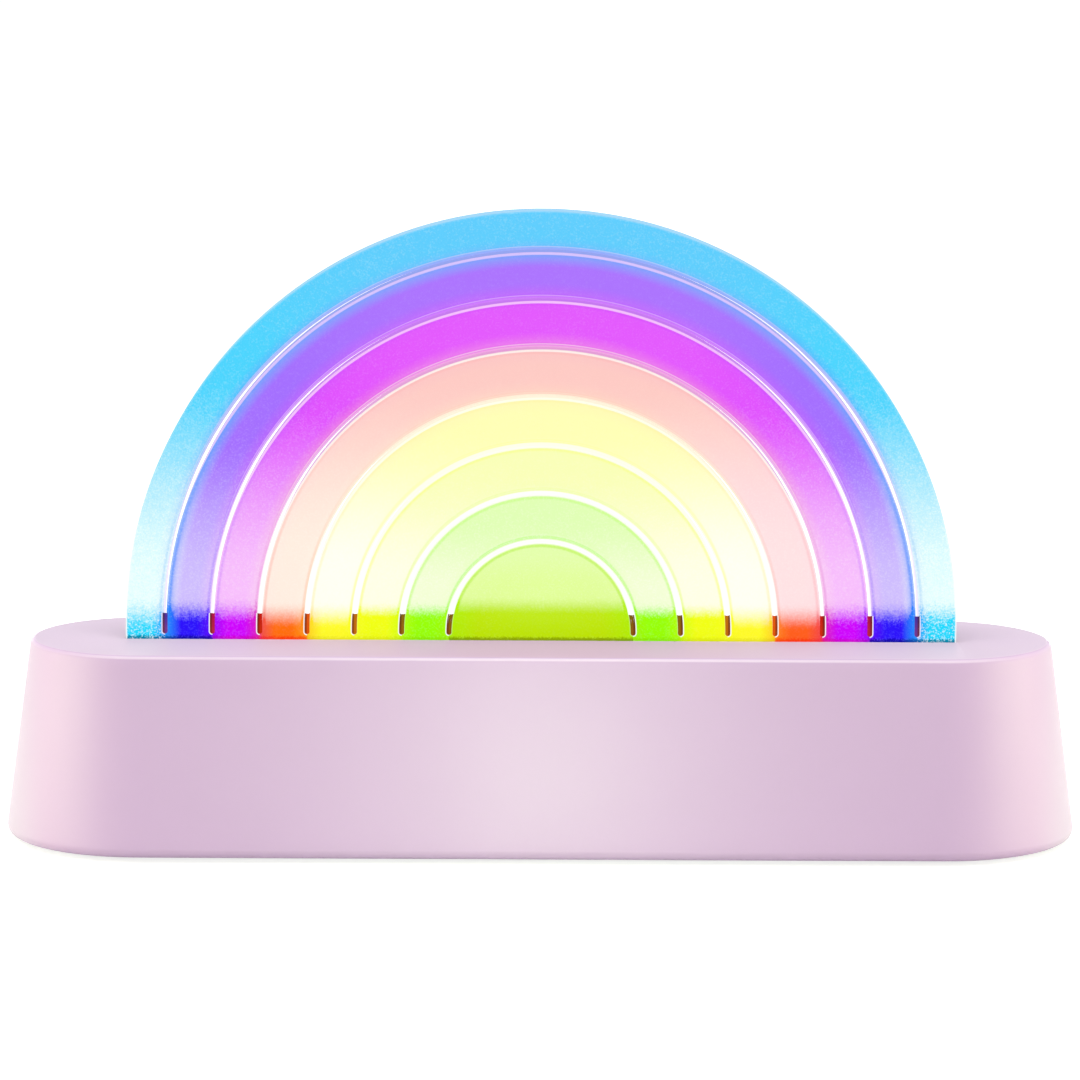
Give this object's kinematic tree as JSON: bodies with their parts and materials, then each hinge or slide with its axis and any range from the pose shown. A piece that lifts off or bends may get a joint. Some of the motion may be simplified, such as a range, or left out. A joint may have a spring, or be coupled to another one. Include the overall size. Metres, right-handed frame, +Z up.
{
  "type": "rainbow table lamp",
  "caption": "Table lamp with a long rounded base and an upright arched clear sheet, edge-lit in rainbow bands from lights inside the base.",
  "frame": {"origin": "under the middle of the base, on the plane that the rubber feet rest on", "axes": "+X to the right along the base seen from the front, +Y to the rear, +Z up; the front faces -Y"},
  "size_m": [0.2598, 0.0682, 0.1534],
  "materials": {
    "shell_plastic": "satin moulded ABS, lilac pink",
    "cover_plastic": "fine-textured moulded ABS, lilac pink",
    "foot_rubber": "soft translucent grey-pink elastomer",
    "screw_steel": "zinc-plated pan head screws",
    "clear_sheet": "cast acrylic with a fine frosted face, lit from its foot",
    "holder_plastic": "white light-reflecting ABS",
    "board_white": "white solder resist on glass-fibre board",
    "board_green": "green solder resist on glass-fibre board",
    "led_body": "white moulded light package",
    "led_lens": "clear yellowish silicone fill",
    "capacitor_body": "tan ceramic chip",
    "resistor_body": "black-topped ceramic chip",
    "chip_black": "black moulded epoxy with tinned legs",
    "ferrite": "dark ferrite",
    "connector_plastic": "ivory nylon",
    "wire_sleeve": "soft PVC sleeve",
    "port_steel": "drawn and plated sheet steel",
    "port_black": "black moulded insulator",
    "mic_metal": "drawn aluminium can",
    "mic_felt": "black felt disc",
    "light_pipe": "clear polycarbonate",
    "button_plastic": "satin moulded ABS, deeper lilac",
    "switch_black": "black moulded nylon",
    "cell_wrap": "shrunk PVC wrap over a steel can",
    "cell_ring": "white fibre ring",
    "tray_plastic": "black moulded nylon",
    "spring_brass": "nickel-brass strip",
    "stop_plastic": "dark brown translucent moulded plastic"
  },
  "bodies": {
    "lamp_base": {"base_shell": "shell_plastic", "bottom_cover": "cover_plastic", "cover_screws": "screw_steel", "rubber_feet": "foot_rubber", "rainbow_panel": "clear_sheet", "light_stops": "stop_plastic", "panel_holder": "holder_plastic", "holder_screws": "screw_steel", "led_board": "board_white", "led_packages": "led_body", "led_lenses": "led_lens", "led_capacitors": "capacitor_body", "led_board_screws": "screw_steel", "led_lead": "wire_sleeve", "main_board": "board_green", "main_board_screws": "screw_steel", "controller_chip": "chip_black", "charger_chip": "chip_black", "power_inductor": "ferrite", "board_capacitors": "capacitor_body", "board_resistors": "resistor_body", "led_connector": "connector_plastic", "battery_connector": "connector_plastic", "led_plug": "connector_plastic", "battery_plug": "connector_plastic", "microphone": "mic_metal", "microphone_felt": "mic_felt", "usb_socket": "port_steel", "usb_tongue": "port_black", "charge_led": "led_body", "charge_light_pipe": "light_pipe", "switch_bodies": "switch_black", "battery_cell": "cell_wrap", "cell_end_ring": "cell_ring", "battery_tray": "tray_plastic", "battery_contacts": "spring_brass", "tray_screws": "screw_steel", "battery_lead": "wire_sleeve"},
    "power_button": {"power_button": "button_plastic", "power_plunger": "switch_black"},
    "mode_button": {"mode_button": "button_plastic", "mode_plunger": "switch_black"},
    "brightness_button": {"brightness_button": "button_plastic", "brightness_plunger": "switch_black"}
  },
  "joints": [
    {"name": "power_button_press", "type": "slide", "parent": "lamp_base", "child": "power_button", "axis": [0, -1, 0], "range_m": [0, 0.0005], "stiffness_N_per_m": 400, "springref_m": -0.0005},
    {"name": "mode_button_press", "type": "slide", "parent": "lamp_base", "child": "mode_button", "axis": [0, -1, 0], "range_m": [0, 0.0005], "stiffness_N_per_m": 400, "springref_m": -0.0005},
    {"name": "brightness_button_press", "type": "slide", "parent": "lamp_base", "child": "brightness_button", "axis": [0, -1, 0], "range_m": [0, 0.0005], "stiffness_N_per_m": 400, "springref_m": -0.0005}
  ]
}
